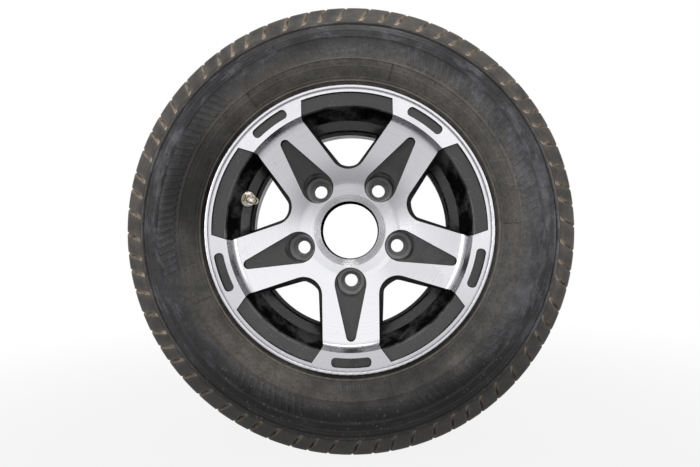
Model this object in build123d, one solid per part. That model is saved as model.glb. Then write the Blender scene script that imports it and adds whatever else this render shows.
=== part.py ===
"""Small trailer wheel: a cast alloy rim, a mounted radial tyre and a clamp-in metal valve.

The origin is the wheel's centre. The wheel spins about Y, and +Y points inboard, so the face looks along -Y.
+Z is up. All lengths are millimetres and all angles are degrees. Turned pieces are drawn as corners
(radius, y, rounding) and spun about Y. Valve pieces are drawn the same way along the valve's own axis.
"""
import os

from build123d import *
from math import atan2, cos, hypot, radians, sin, tan

# Tyre
TYRE_DIAMETER = 468.5
SECTION_WIDTH = 201.0
TREAD_WIDTH = 145.0
TREAD_DROP = 8.0
SHOULDER_ROUND = 9.0
BUTTRESS_DROP = 29.0
SIDEWALL_WALL = 8.0
CROWN_WALL = 17.0
BEAD_CLEARANCE = 0.15

# Tread pattern
TREAD_DEPTH = 7.5
GROOVE_WIDTH = 8.5
GROOVE_OFFSETS = (16.5, 45.0)
SLOT_WIDTH = 3.2
SLOT_SLANT = 24.0
PITCH_ORDER = "MSMLMSSMLLMSMLSML"
PITCH_REPEATS = 4
PITCH_LENGTHS = {"S": 0.84, "M": 1.0, "L": 1.18}

# Rim barrel
SEAT_DIAMETER = 253.2
RIM_WIDTH = 152.4
FLANGE_HEIGHT = 17.3
FLANGE_WALL = 11.8
FLANGE_ROUND = 9.5
SEAT_WIDTH = 19.3
SEAT_TAPER = 5.0
HEEL_ROUND = 6.5
WELL_DEPTH = 16.6
WELL_END = -24.0
BARREL_WALL = 5.5
SLOPE_WALL = 6.0

# Rim face
SPOKES = 5
SPOKE_WIDTH = 58.6
SPOKE_MIDDLE = 85.0
SPOKE_TAPER = 1.4
HUB_FACE_DEPTH = 37.2
SPOKE_RISE = 0.358
LIP_STEP = 2.5
LIP_WIDTH = 22.2
RAMP_ROUND = 12.0
WINDOW_TOP_WIDTH = 89.0
WINDOW_ROOT_ROUND = 19.4
WINDOW_DRAFT = 9.2
WINDOW_RIM_GAP = 7.4
LEDGE_DEPTH = 4.0
KIDNEY_LENGTH = 39.6
KIDNEY_WIDTH = 9.6
KIDNEY_DEPTH = 2.6
KIDNEY_ROUND = 4.2

# Hub
OFFSET = -4.0
PILOT_DIAMETER = 66.6
PILOT_LENGTH = 8.0
CAP_HOLE_DIAMETER = 62.0
PAD_DIAMETER = 150.0
PAD_HEIGHT = 20.0
BOLT_CIRCLE = 112.0
BOLT_HOLE = 14.6
BOLT_SEAT = 23.4
BOLT_POCKET = 33.4
BOLT_COUNTERBORE = 30.6
SEAT_ANGLE = 60.0
BOLT_GRIP = 7.0
POCKET_DEPTH = 8.0
POCKET_TIP_RADIUS = 107.8
POCKET_TIP_ROUND = 5.0
CHANNEL_WIDTH = 34.0
CHANNEL_DEPTH = 14.0

# Valve
VALVE_ANGLE = 162.0
VALVE_RADIUS = 111.8
VALVE_TILT = 40.0
VALVE_HOLE = 11.6
SPOT_DIAMETER = 18.6
SPOT_DEPTH = 0.5
STEM_LENGTH = 17.0
STEM_DIAMETER = 8.2
MOUTH_DIAMETER = 7.7
STEM_BORE = 5.3
CORE_BORE = 3.9
WASHER_DIAMETER = 16.2
WASHER_THICKNESS = 1.3
NUT_ACROSS_FLATS = 12.0
NUT_HEIGHT = 5.0
GROMMET_DIAMETER = 16.0
GROMMET_THICKNESS = 3.4
BASE_THICKNESS = 2.5
PIN_DIAMETER = 1.1
PIN_RECESS = 0.4
SPRING_WIRE = 0.24
SPRING_TURNS = 6

# Values that follow from those above
SEAT = SEAT_DIAMETER / 2
HALF = RIM_WIDTH / 2
FLANGE = SEAT + FLANGE_HEIGHT
FLANGE_Y = HALF + FLANGE_WALL
SEAT_END_Y = HALF - SEAT_WIDTH
SEAT_END = SEAT - SEAT_WIDTH * tan(radians(SEAT_TAPER))
WELL = SEAT - WELL_DEPTH
WELL_INSIDE = WELL - BARREL_WALL
LIP_Y = -FLANGE_Y + LIP_STEP
LIP_INNER = FLANGE - LIP_WIDTH
MOUNT_Y = -OFFSET
PAD_BACK = MOUNT_Y - PAD_HEIGHT
HUB_Y = -FLANGE_Y + HUB_FACE_DEPTH
HUB_FLAT = 50.0
TYRE = TYRE_DIAMETER / 2


def rounded_face(corners):
    """Closed outline through corners (x, y, rounding), as a face in the XY plane."""
    count = len(corners)
    starts, ends, edges = [], [], []
    for i, (x, y, rounding) in enumerate(corners):
        back = (corners[i - 1][0] - x, corners[i - 1][1] - y)
        ahead = (corners[(i + 1) % count][0] - x, corners[(i + 1) % count][1] - y)
        back = (back[0] / hypot(*back), back[1] / hypot(*back))
        ahead = (ahead[0] / hypot(*ahead), ahead[1] / hypot(*ahead))
        if rounding == 0:
            starts.append((x, y))
            ends.append((x, y))
            continue
        turn = atan2(abs(back[0] * ahead[1] - back[1] * ahead[0]), back[0] * ahead[0] + back[1] * ahead[1])
        run = rounding / tan(turn / 2)
        reach = rounding / sin(turn / 2) - rounding
        middle = (back[0] + ahead[0], back[1] + ahead[1])
        middle = (middle[0] / hypot(*middle), middle[1] / hypot(*middle))
        starts.append((x + back[0] * run, y + back[1] * run))
        ends.append((x + ahead[0] * run, y + ahead[1] * run))
        edges.append(ThreePointArc(starts[-1], (x + middle[0] * reach, y + middle[1] * reach), ends[-1]))
    for i in range(count):
        edges.append(Line(ends[i - 1], starts[i]))
    return make_face(edges)


def turned(corners):
    """Solid of revolution about Y."""
    return revolve(rounded_face(corners), Axis.Y)


def prism(face, y_from, y_to):
    """Outline drawn as (x, z), carried along Y."""
    return extrude(Plane.XZ.offset(-y_from) * face, amount=y_from - y_to)


def around(piece, count=SPOKES):
    """Copies of a piece, evenly spaced about the wheel's axis."""
    return [Rot(0, 360.0 / count * i, 0) * piece for i in range(count)]


def slope_y(radius, depth):
    """Height of the barrel's front slope at a radius, at a depth below the tyre side of the wall."""
    tilt = radians(VALVE_TILT)
    return -SEAT_END_Y - (depth + (radius - SEAT_END) * sin(tilt)) / cos(tilt)


def face_y(radius):
    """Height of the machined spoke face at a radius."""
    return HUB_Y - max(0.0, radius - HUB_FLAT) * SPOKE_RISE


def blank():
    """Rim as turned, before windows, holes and pockets."""
    cap = CAP_HOLE_DIAMETER / 2
    pilot = PILOT_DIAMETER / 2
    pad = PAD_DIAMETER / 2
    ramp_foot = LIP_INNER - 4.5
    groove = FLANGE - 5.3
    return turned([
        (cap, HUB_Y + 5.8, 0),
        (cap + 7.0, HUB_Y, 0),
        (HUB_FLAT, HUB_Y, 20),
        (ramp_foot, face_y(ramp_foot), RAMP_ROUND),
        (LIP_INNER, LIP_Y, 0),
        (groove, LIP_Y, 0),
        (groove + 0.4, LIP_Y + 0.9, 0),
        (groove + 1.0, LIP_Y + 0.9, 0),
        (groove + 1.3, -FLANGE_Y, 1.2),
        (FLANGE, -FLANGE_Y, 2.2),
        (FLANGE, -HALF, FLANGE_ROUND),
        (SEAT, -HALF, HEEL_ROUND),
        (SEAT_END, -SEAT_END_Y, 3),
        (WELL, slope_y(WELL, 0), 8),
        (WELL, WELL_END, 20),
        (SEAT_END, SEAT_END_Y, 4),
        (SEAT, HALF, HEEL_ROUND),
        (FLANGE, HALF, FLANGE_ROUND),
        (FLANGE, FLANGE_Y, 2.2),
        (FLANGE - 10.9, FLANGE_Y, 3),
        (SEAT - BARREL_WALL + 0.7, HALF - 1.5, 8),
        (SEAT - BARREL_WALL - 1.1, SEAT_END_Y - 3, 15),
        (WELL_INSIDE, WELL_END - 4, 10),
        (WELL_INSIDE, WELL_END - 16, 0),
        (pad, PAD_BACK, 0),
        (pad, MOUNT_Y, 1.5),
        (pilot + 1.0, MOUNT_Y, 0),
        (pilot, MOUNT_Y - 1.0, 0),
        (pilot, MOUNT_Y - PILOT_LENGTH, 0),
        (cap, MOUNT_Y - PILOT_LENGTH, 0),
    ])


def window_outline(y):
    """Outline of the top window at a height: two spoke sides that meet in a round root. A spoke's half width is set
    on its face at the spoke's middle. It tapers outwards, and it grows with the depth below the rising face."""
    across, along = sin(radians(180.0 / SPOKES)), cos(radians(180.0 / SPOKES))
    draft = tan(radians(WINDOW_DRAFT))
    wider = (y - face_y(SPOKE_MIDDLE)) * draft
    spread = SPOKE_RISE * draft - tan(radians(SPOKE_TAPER))
    half_at_axle = SPOKE_WIDTH / 2 + wider - SPOKE_MIDDLE * spread
    half_top = WINDOW_TOP_WIDTH / 2 - wider / 4

    def side(x):
        """Height of the spoke's side where it is x away from the window's middle."""
        reach = (x + half_at_axle * along) / (across - spread * along)
        return reach * along + (half_at_axle + spread * reach) * across

    outside = FLANGE + 10
    return rounded_face([
        (0, side(0), WINDOW_ROOT_ROUND - 0.7 * wider),
        (half_top, side(half_top), 0),
        (half_top, outside, 0),
        (-half_top, outside, 0),
        (-half_top, side(half_top), 0),
    ])


def window():
    """Opening between two spokes: drafted sides, a painted ledge in the lip, and the barrel left whole."""
    front, back = -FLANGE_Y - 5, MOUNT_Y + 4
    outlines = [Plane.XZ.offset(-y) * window_outline(y) for y in (front, back)]
    top = FLANGE - WINDOW_RIM_GAP
    ledge_end = LIP_INNER + 2.5
    shoulder = LIP_INNER - 7.2
    space = turned([
        (CAP_HOLE_DIAMETER / 2 + 5, front - 1, 0),
        (top, front - 1, 0),
        (top, LIP_Y + LEDGE_DEPTH, 1.0),
        (ledge_end, LIP_Y + LEDGE_DEPTH + 1.9, 1.5),
        (shoulder, slope_y(shoulder, SLOPE_WALL), 5),
        (WELL_INSIDE, slope_y(WELL_INSIDE, SLOPE_WALL), 5),
        (WELL_INSIDE, WELL_END - 16, 0),
        (WELL_INSIDE - 9.5, back + 1, 0),
        (CAP_HOLE_DIAMETER / 2 + 5, back + 1, 0),
    ])
    return loft(outlines, ruled=True) & space


def teardrop():
    """Pocket in a spoke, from the round end at the bolt to a small round tip."""
    near, far = BOLT_CIRCLE / 2, POCKET_TIP_RADIUS
    big, small = BOLT_POCKET / 2, POCKET_TIP_ROUND
    lean = (big - small) / (far - near)
    side = (1 - lean * lean) ** 0.5
    ends = [(side * r, -c - lean * r) for r, c in ((big, near), (small, far))]
    outline = make_face([
        ThreePointArc((-ends[0][0], ends[0][1]), (0, -near + big), ends[0]),
        Line(ends[0], ends[1]),
        ThreePointArc(ends[1], (0, -far - small), (-ends[1][0], ends[1][1])),
        Line((-ends[1][0], ends[1][1]), (-ends[0][0], ends[0][1])),
    ])
    front = -FLANGE_Y - 5
    outer = far + 15
    floor = turned([
        (CAP_HOLE_DIAMETER / 2 + 1, front, 0),
        (outer, front, 0),
        (outer, face_y(outer) + POCKET_DEPTH, 0),
        (HUB_FLAT, HUB_Y + POCKET_DEPTH, 0),
        (CAP_HOLE_DIAMETER / 2 + 1, HUB_Y + POCKET_DEPTH, 0),
    ])
    return prism(outline, front - 1, MOUNT_Y) & floor


def bolt_hole():
    """Through hole with a conical seat and a counterbore."""
    seat_y = MOUNT_Y - BOLT_GRIP
    cone = (BOLT_SEAT - BOLT_HOLE) / 2 / tan(radians(SEAT_ANGLE / 2))
    hole = turned([
        (0, -FLANGE_Y - 5, 0),
        (BOLT_COUNTERBORE / 2, -FLANGE_Y - 5, 0),
        (BOLT_COUNTERBORE / 2, seat_y - cone, 1.0),
        (BOLT_SEAT / 2, seat_y - cone, 0),
        (BOLT_HOLE / 2, seat_y, 0),
        (BOLT_HOLE / 2, MOUNT_Y + 5, 0),
        (0, MOUNT_Y + 5, 0),
    ])
    return Pos(0, 0, -BOLT_CIRCLE / 2) * hole


def kidney():
    """Shallow pocket in the lip at the end of a spoke."""
    outer = FLANGE - WINDOW_RIM_GAP
    inner = outer - KIDNEY_WIDTH
    half = KIDNEY_LENGTH / 2
    low = -((outer**2 - half**2) ** 0.5)
    high = -((inner**2 - half**2) ** 0.5)
    outline = make_face([
        ThreePointArc((-half, low), (0, -outer), (half, low)),
        Line((half, low), (half, high)),
        ThreePointArc((half, high), (0, -inner), (-half, high)),
        Line((-half, high), (-half, low)),
    ])
    outline = fillet(outline.vertices(), KIDNEY_ROUND)
    return prism(outline, -FLANGE_Y - 5, LIP_Y + KIDNEY_DEPTH)


def channel():
    """Hollow behind a spoke, with a floor that follows the spoke's back."""
    half = CHANNEL_WIDTH / 2
    near, far = PAD_DIAMETER / 2 + 4, WELL_INSIDE - 5
    outline = rounded_face([(-half, -near, 6), (half, -near, 6), (half * 0.8, -far, 6), (-half * 0.8, -far, 6)])
    slope = (WELL_END - 16 - PAD_BACK) / (WELL_INSIDE - PAD_DIAMETER / 2)
    floor = [PAD_BACK - CHANNEL_DEPTH + (r - PAD_DIAMETER / 2) * slope for r in (near - 8, far + 4)]
    space = turned([
        (near - 8, floor[0], 0),
        (far + 4, floor[1], 0),
        (far + 4, MOUNT_Y + 10, 0),
        (near - 8, MOUNT_Y + 10, 0),
    ])
    return prism(outline, -FLANGE_Y, MOUNT_Y + 9) & space


def valve_place():
    """Frame of the valve: its origin on the seat, its Y along the stem towards the mouth."""
    turn, tilt = radians(VALVE_ANGLE), radians(VALVE_TILT)
    outward = Vector(cos(turn), 0, sin(turn))
    tangent = Vector(-sin(turn), 0, cos(turn))
    along = outward * -sin(tilt) + Vector(0, -cos(tilt), 0)
    seat = outward * VALVE_RADIUS + Vector(0, slope_y(VALVE_RADIUS, SLOPE_WALL - SPOT_DEPTH), 0)
    return Plane(origin=seat, x_dir=tangent, z_dir=tangent.cross(along))


def valve_hole():
    """Hole for the valve, with a flat spot face on each side of the wall."""
    spot, hole = SPOT_DIAMETER / 2, VALVE_HOLE / 2
    return valve_place() * turned([
        (0, -SEAT_DEPTH - 9, 0),
        (spot, -SEAT_DEPTH - 9, 0),
        (spot, -SEAT_DEPTH, 0.5),
        (hole, -SEAT_DEPTH, 0),
        (hole, 0, 0),
        (spot, 0, 0.5),
        (spot, 9, 0),
        (0, 9, 0),
    ])


def rim():
    """The casting: turned blank with windows, bolt holes, pockets and the valve hole."""
    seam_in_spoke = Rot(0, 90.0 / SPOKES, 0)
    body = seam_in_spoke * blank() - around(window())
    for cut in (teardrop(), bolt_hole(), kidney(), channel()):
        body = body - around(cut)
    return body - valve_hole()


def tyre_half():
    """Corners of the tyre's outer outline on the inboard side, from the bead toe to the tread edge."""
    gap = BEAD_CLEARANCE
    toe_y = SEAT_END_Y + 2.6
    toe = SEAT - (HALF - toe_y) * tan(radians(SEAT_TAPER)) + gap
    flange_y = HALF - gap
    leave = radians(55.0)
    hold = FLANGE_ROUND + gap
    turn_out = FLANGE - FLANGE_ROUND + hold * tan(leave / 2)
    widest = SECTION_WIDTH / 2
    edge = TYRE - TREAD_DROP
    buttress = TYRE - BUTTRESS_DROP
    return [
        (toe, toe_y, 1.5),
        (SEAT + gap, flange_y, HEEL_ROUND),
        (turn_out, flange_y, hold),
        (turn_out + 10.0 * cos(leave), flange_y + 10.0 * sin(leave), 14),
        (FLANGE + 16.0, widest - 1.0, 30),
        (FLANGE + 43.0, widest + 0.92, 45),
        (buttress, widest - 9.8, 25),
        (edge, TREAD_WIDTH / 2, SHOULDER_ROUND),
    ]


def tyre_blank():
    """Tyre as moulded, before its tread is cut."""
    outer = tyre_half()
    crown = [(TYRE, TREAD_WIDTH * 0.2, 180), (TYRE, -TREAD_WIDTH * 0.2, 180)]
    inner_crown = TYRE - CROWN_WALL
    wall = SECTION_WIDTH / 2 - SIDEWALL_WALL
    inner = [
        (FLANGE - 9, outer[0][1] + 1.5, 8),
        (FLANGE + 4, wall - 12, 20),
        (FLANGE + 20, wall, 20),
        (FLANGE + 52, wall, 22),
        (inner_crown, TREAD_WIDTH / 2 - 14, 25),
    ]
    mirrored = [(r, -y, rounding) for r, y, rounding in outer[::-1]]
    inside = [(r, -y, rounding) for r, y, rounding in inner] + inner[::-1]
    return turned(outer + crown + mirrored + inside)


def tread_groove(offset):
    """Groove all around the tread, narrower at its floor."""
    half = GROOVE_WIDTH / 2
    floor = TYRE - TREAD_DEPTH - TREAD_DROP * (2 * offset / TREAD_WIDTH) ** 2
    return turned([
        (floor, offset - half + 1.2, 1.2),
        (floor, offset + half - 1.2, 1.2),
        (TYRE + 5, offset + half + 1.0, 0),
        (TYRE + 5, offset - half - 1.0, 0),
    ])


def shoulder_slot():
    """Slanted slot from the outer groove over the outboard shoulder, fading out on the buttress."""
    edge, buttress = TYRE - TREAD_DROP, TYRE - BUTTRESS_DROP
    half = TREAD_WIDTH / 2
    inner = GROOVE_OFFSETS[-1]
    floor = [
        (edge - TREAD_DEPTH + 1.0, inner),
        (edge - TREAD_DEPTH, half - 11),
        (edge - TREAD_DEPTH - 3.0, half - 3),
        (buttress + 5.0, half + 8.5),
        (buttress - 0.2, half + 20),
        (TYRE + 6, half + 20),
        (TYRE + 6, inner),
    ]
    stretch = cos(radians(SLOT_SLANT))
    outline = rounded_face([(r, -(half + (y - half) / stretch), 0) for r, y in floor])
    plate = extrude(outline, amount=SLOT_WIDTH / 2, both=True)
    return Pos(0, -half, 0) * Rot(-SLOT_SLANT, 0, 0) * Pos(0, half, 0) * plate


def pitch_angles():
    """Angles of the slots: three pitch lengths in a fixed order, repeated around the tyre."""
    lengths = [PITCH_LENGTHS[letter] for letter in PITCH_ORDER * PITCH_REPEATS]
    total = sum(lengths)
    angles, angle = [], 0.0
    for length in lengths:
        angles.append(angle)
        angle += 360.0 * length / total
    return angles


def tyre():
    """The tyre with its grooves and shoulder slots. The pattern is the same after half a turn about Z."""
    body = tyre_blank()
    for offset in GROOVE_OFFSETS:
        body = body - tread_groove(offset) - tread_groove(-offset)
    slot = shoulder_slot()
    slots = [Rot(0, -angle, 0) * slot for angle in pitch_angles()]
    return body - slots - [Rot(0, 0, 180) * piece for piece in slots]


SEAT_DEPTH = SLOPE_WALL - 2 * SPOT_DEPTH
BASE_Y = -SEAT_DEPTH - GROMMET_THICKNESS
NUT_Y = WASHER_THICKNESS
MOUTH_Y = STEM_LENGTH
BARREL_Y = 0.5
CHAMBER = (1.6, 6.6)
NECK_Y = 9.3


def valve_stem():
    """Turned metal stem: base flange, nut thread, cap thread and a stepped bore for the core."""
    shank, mouth = STEM_DIAMETER / 2, MOUTH_DIAMETER / 2
    bore, core = STEM_BORE / 2, CORE_BORE / 2
    return turned([
        (1.4, BASE_Y - BASE_THICKNESS, 0),
        (GROMMET_DIAMETER / 2 - 0.3, BASE_Y - BASE_THICKNESS, 0.8),
        (GROMMET_DIAMETER / 2 - 0.3, BASE_Y, 0.3),
        (shank, BASE_Y, 0),
        (shank, MOUTH_Y - 7.5, 0),
        (mouth, MOUTH_Y - 6.8, 0),
        (mouth, MOUTH_Y - 0.7, 0),
        (mouth - 0.5, MOUTH_Y, 0),
        (bore + 0.3, MOUTH_Y, 0),
        (bore, MOUTH_Y - 0.4, 0),
        (bore, 8.6, 0),
        (core, 7.0, 0),
        (core, -3.0, 0),
        (1.4, -3.6, 0),
    ])


def valve_grommet():
    """Rubber seal: a flange on the tyre side and a sleeve in the hole."""
    inner = STEM_DIAMETER / 2 + 0.1
    sleeve = VALVE_HOLE / 2 - 0.2
    return turned([
        (inner, BASE_Y, 0),
        (GROMMET_DIAMETER / 2, BASE_Y, 0.6),
        (GROMMET_DIAMETER / 2, -SEAT_DEPTH, 0.6),
        (sleeve, -SEAT_DEPTH, 0),
        (sleeve, -0.6, 0.5),
        (inner, -0.6, 0),
    ])


def valve_washer():
    """Flat washer on the outer spot face."""
    return turned([
        (STEM_DIAMETER / 2 + 0.2, 0, 0),
        (WASHER_DIAMETER / 2, 0, 0),
        (WASHER_DIAMETER / 2, WASHER_THICKNESS, 0.5),
        (STEM_DIAMETER / 2 + 0.2, WASHER_THICKNESS, 0),
    ])


def valve_nut():
    """Hexagon nut with chamfered corners."""
    corner = NUT_ACROSS_FLATS / 2 / cos(radians(30))
    hexagon = prism(RegularPolygon(corner, 6), NUT_Y, NUT_Y + NUT_HEIGHT)
    top = NUT_Y + NUT_HEIGHT
    barrel = turned([
        (STEM_DIAMETER / 2 + 0.05, NUT_Y, 0),
        (corner + 0.1, NUT_Y, 0),
        (corner + 0.1, top - 0.5, 0),
        (corner - 1.0, top, 0),
        (STEM_DIAMETER / 2 + 0.05, top, 0),
    ])
    return hexagon & barrel


def core_plug():
    """Threaded top of the core, with two flats above for the key."""
    top = MOUTH_Y - 3.4
    body = turned([
        (0.85, NECK_Y + 0.1, 0),
        (STEM_BORE / 2 - 0.1, NECK_Y + 0.1, 0.3),
        (STEM_BORE / 2 - 0.1, top, 0.3),
        (1.7, top, 0),
        (1.7, top + 1.4, 0.3),
        (0.85, top + 1.4, 0),
    ])
    flats = [Pos(side * 2.1, top + 0.8, 0) * Box(2.0, 1.6, 6) for side in (-1, 1)]
    return body - flats


def core_gasket():
    """Tapered ring that seals the core in the stem."""
    return turned([
        (1.45, 7.0, 0),
        (CORE_BORE / 2 - 0.05, 7.05, 0),
        (STEM_BORE / 2 - 0.15, 8.55, 0),
        (STEM_BORE / 2 - 0.15, NECK_Y, 0),
        (1.45, NECK_Y, 0),
    ])


def core_barrel():
    """Lower tube of the core: a neck above and the spring's chamber below."""
    outer = CORE_BORE / 2 - 0.15
    return turned([
        (0.85, BARREL_Y, 0),
        (outer, BARREL_Y, 0.2),
        (outer, 6.95, 0),
        (1.4, 6.95, 0),
        (1.4, NECK_Y + 0.1, 0),
        (0.85, NECK_Y + 0.1, 0),
        (0.85, CHAMBER[1], 0),
        (1.3, CHAMBER[1], 0),
        (1.3, CHAMBER[0], 0),
        (0.85, CHAMBER[0], 0),
    ])


def core_pin():
    """Pin through the core, with the collar that the spring lifts."""
    radius = PIN_DIAMETER / 2
    collar = CHAMBER[1] - 0.7
    return turned([
        (0, -2.0, 0),
        (radius, -2.0, 0),
        (radius, collar, 0),
        (1.0, collar, 0),
        (1.0, collar + 0.4, 0),
        (radius, collar + 0.4, 0),
        (radius, MOUTH_Y - PIN_RECESS, 0.2),
        (0, MOUTH_Y - PIN_RECESS, 0),
    ])


def core_cup():
    """Cup at the foot of the pin."""
    return turned([
        (PIN_DIAMETER / 2, -1.6, 0),
        (1.2, -1.6, 0),
        (1.6, -1.2, 0),
        (1.6, 0.0, 0),
        (1.35, 0.0, 0),
        (1.35, -0.7, 0),
        (PIN_DIAMETER / 2, -0.7, 0),
    ])


def core_seal():
    """Soft ring in the cup, which meets the tube's lower end."""
    return turned([
        (PIN_DIAMETER / 2, -0.7, 0),
        (1.35, -0.7, 0),
        (1.35, BARREL_Y - 0.15, 0.1),
        (PIN_DIAMETER / 2, BARREL_Y - 0.15, 0),
    ])


def core_spring():
    """Wire spring between the tube's shoulder and the pin's collar."""
    radius = SPRING_WIRE / 2
    low, high = CHAMBER[0] + radius, CHAMBER[1] - 0.7 - radius
    coil = 0.93
    path = Helix((high - low) / SPRING_TURNS, high - low, coil)
    section = Plane(origin=path @ 0, z_dir=path % 0) * Circle(radius)
    return Pos(0, low, 0) * Rot(-90, 0, 0) * sweep(section, path)


WHEEL = (rim, tyre)
VALVE = (
    valve_stem, valve_grommet, valve_washer, valve_nut, core_plug, core_gasket,
    core_barrel, core_pin, core_cup, core_seal, core_spring,
)

if __name__ == "__main__":
    os.makedirs("parts", exist_ok=True)
    for piece in WHEEL:
        export_step(piece(), f"parts/{piece.__name__}.step")
    for piece in VALVE:
        export_step(valve_place() * piece(), f"parts/{piece.__name__}.step")
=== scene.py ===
"""Studio picture of a small trailer wheel: a cast alloy rim, a mounted radial tyre and a clamp-in metal valve.

Shapes are worked out in millimetres and become metres when a mesh is made. The wheel spins about Y, its face looks
along -Y and +Z is up. Angles are counted anticlockwise from +X as seen from the front.
"""
from math import cos, pi, radians, sin, tan

import bmesh
import bpy
import numpy as np
from mathutils import Matrix


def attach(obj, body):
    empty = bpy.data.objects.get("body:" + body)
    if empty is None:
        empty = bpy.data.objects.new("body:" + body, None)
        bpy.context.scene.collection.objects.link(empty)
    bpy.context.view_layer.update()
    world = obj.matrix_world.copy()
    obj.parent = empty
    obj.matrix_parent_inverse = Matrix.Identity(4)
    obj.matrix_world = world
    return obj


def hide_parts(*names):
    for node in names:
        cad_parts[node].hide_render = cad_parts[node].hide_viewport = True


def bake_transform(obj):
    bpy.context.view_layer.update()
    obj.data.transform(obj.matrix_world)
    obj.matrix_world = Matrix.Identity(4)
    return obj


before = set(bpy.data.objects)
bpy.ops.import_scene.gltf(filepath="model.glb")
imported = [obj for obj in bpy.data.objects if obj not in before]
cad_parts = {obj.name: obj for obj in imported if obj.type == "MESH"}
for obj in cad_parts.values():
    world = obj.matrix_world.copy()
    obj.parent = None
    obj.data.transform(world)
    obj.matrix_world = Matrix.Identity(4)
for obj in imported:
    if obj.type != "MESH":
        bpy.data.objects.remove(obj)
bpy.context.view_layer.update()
MM = 0.001

# Edges stay sharp past these angles, on the rim and on the other pieces
RIM_SHARP, PIECE_SHARP = radians(24.0), radians(32.0)

# Tyre, outboard half: corners (radius, distance from the mid-plane, rounding)
BEAD = [(125.29, 59.5, 1.5), (126.75, 76.05, 6.5), (139.42, 76.05, 9.65)]
SIDEWALL = [(145.16, 84.24, 14), (159.9, 99.5, 30), (186.9, 101.42, 45), (205.25, 90.7, 25)]
TREAD = [(226.2, 72.5, 9), (234.15, 29.0, 180), (234.15, -29.0, 0)]
LINER = [
    (125.29, 59.5, 0), (134.9, 61.0, 8), (147.9, 80.5, 20), (163.9, 92.5, 20), (195.9, 92.5, 22), (217.25, 58.5, 25),
    (217.25, 0.0, 0),
]
UNDER_TREAD = [(203.2, 91.2), (208.6, 81.0), (213.8, 69.5), (216.8, 61.0), (221.6, 45.0), (224.6, 16.5)]

# Where the sidewall starts and ends on that outline, and where the buttress is left for the tread
SIDEWALL_RADII = (141.0, 199.4)
BUTTRESS_START = 198.0

# Rings moulded on the sidewall: (radius, half width, height, dust and painted highlight on the crest)
RINGS = [
    (147.4, 1.0, 0.9, 0.22), (149.6, 0.6, 0.35, 0.05), (158.6, 0.6, 0.3, 0.03), (164.9, 0.8, 0.6, 0.05),
    (167.2, 0.5, 0.3, 0.03), (186.6, 0.7, 0.45, 0.03), (193.4, 0.8, 0.3, 0.03),
]
# Shallow recess that holds the ribs: inner radius, outer radius, depth, and the width of its sloped edges
RIB_BAND = (165.6, 186.2, 0.85)
RIB_BAND_EDGE = 1.6
CARCASS_TURNS = 288

# Tread: lengths of its pitches, then its rows from the buttress to the middle: a ring (radius, lift), radii, and y
PITCHES = "MSMLMSSMLLMSMLSML" * 4
PITCH_LENGTHS = {"S": 0.84, "M": 1.0, "L": 1.18}
TREAD_RING = [
    (199.7, -1.3), (200.3, -1.3), (200.9, -1.0), (201.5, 0.2), (202.0, 0.8), (202.7, 1.0), (203.4, 0.6), (204.1, -0.2),
]
BUTTRESS_RADII = (204.7, 205.6, 207.0, 209.0, 211.5, 214.0, 216.5, 219.0, 221.0)
TREAD_ROWS = (
    75.6, 74.4, 73.2, 72.0, 70.6, 69.0, 67.0, 64.5, 61.0, 57.0, 53.0, 49.7, 49.35, 48.1, 45.0, 41.9, 40.65, 40.3, 38.0,
    35.0, 31.0, 29.5, 27.0, 24.0, 21.1, 20.75, 19.6, 16.5, 13.4, 12.25, 11.9, 10.0, 7.0, 6.0, 3.0, 0.0,
)
# Rows beyond this y lie on the buttress
BUTTRESS_Y = 80.0
# Grooves: their middles, and their depth at three distances from the middle
GROOVE_MIDDLES = (45.0, 16.5)
GROOVE_WALL = ((3.1, 4.35, 4.7), (7.5, 0.35, 0.0))
# Slots of the shoulder: half width, also at the tip, slant, radii between which the tip widens, y of the inner end,
# the line (radius, y) of the soil that half fills them, and the y that the slant turns about
SLOT_HALF = 1.9
SLOT_TIP_HALF = 0.7
SLOT_SLANT = radians(24.0)
SLOT_RADII = (204.3, 206.0)
SLOT_END_Y = 49.35
SLOT_SOIL = [(204.5, 92.0), (206.4, 88.9), (212.4, 81.5), (219.4, 70.3), (223.8, 61.0), (225.0, SLOT_END_Y)]
SHOULDER_Y = 72.5
# Thin cuts in the ribs: where each opens, is at full depth, and closes
SIPES = ((30.9, 31.5, 40.65, 40.7), (20.7, 20.75, 24.5, 25.0), (6.5, 7.0, 12.2, 12.25))
SIPE_DEPTH = 5.0
SIPE_HALF = 0.4
SIPE_SLANT = radians(20.0)
BLOCK_BEVEL = 0.35
# Soil on the columns of a pitch, soil and painted highlight on the rows of the ring, and shade on the rows of the ring
COLUMN_SOIL = (1.0, 1.0, 0.62, 0.16, 0.06, 0.03, 0.03, 0.06, 0.16, 0.62)
GROOVE_SOIL = 0.55
RING_SOIL_AND_HIGHLIGHT = (0, 0, 0, 0.05, 0.14, 0.20, 0.12, 0)
RING_SHADE = ((0, 2, 3, 6, 7, 8), (1, 1, 0, 0, 0.6, 0))

# Marks on the sidewall: sectors in degrees that hold ribs and ticks, and the angles of the joint lines
RIB_SECTORS = ((4, 72), (131, 193), (230, 255), (289, 331))
TICK_SECTORS = ((8, 36), (152, 198), (262, 276), (300, 338), (96, 112))
JOINT_ANGLES = (1.0, 74.0, 126.0, 205.0, 284.0)
# Vent stubs: first angle, step, radius
VENT_ROWS = ((6.6, 15.0, 190.8), (2.0, 22.5, 160.6), (13.2, 22.5, 162.6), (20.0, 22.5, 145.2))
MARK_SINK = 0.3

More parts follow.
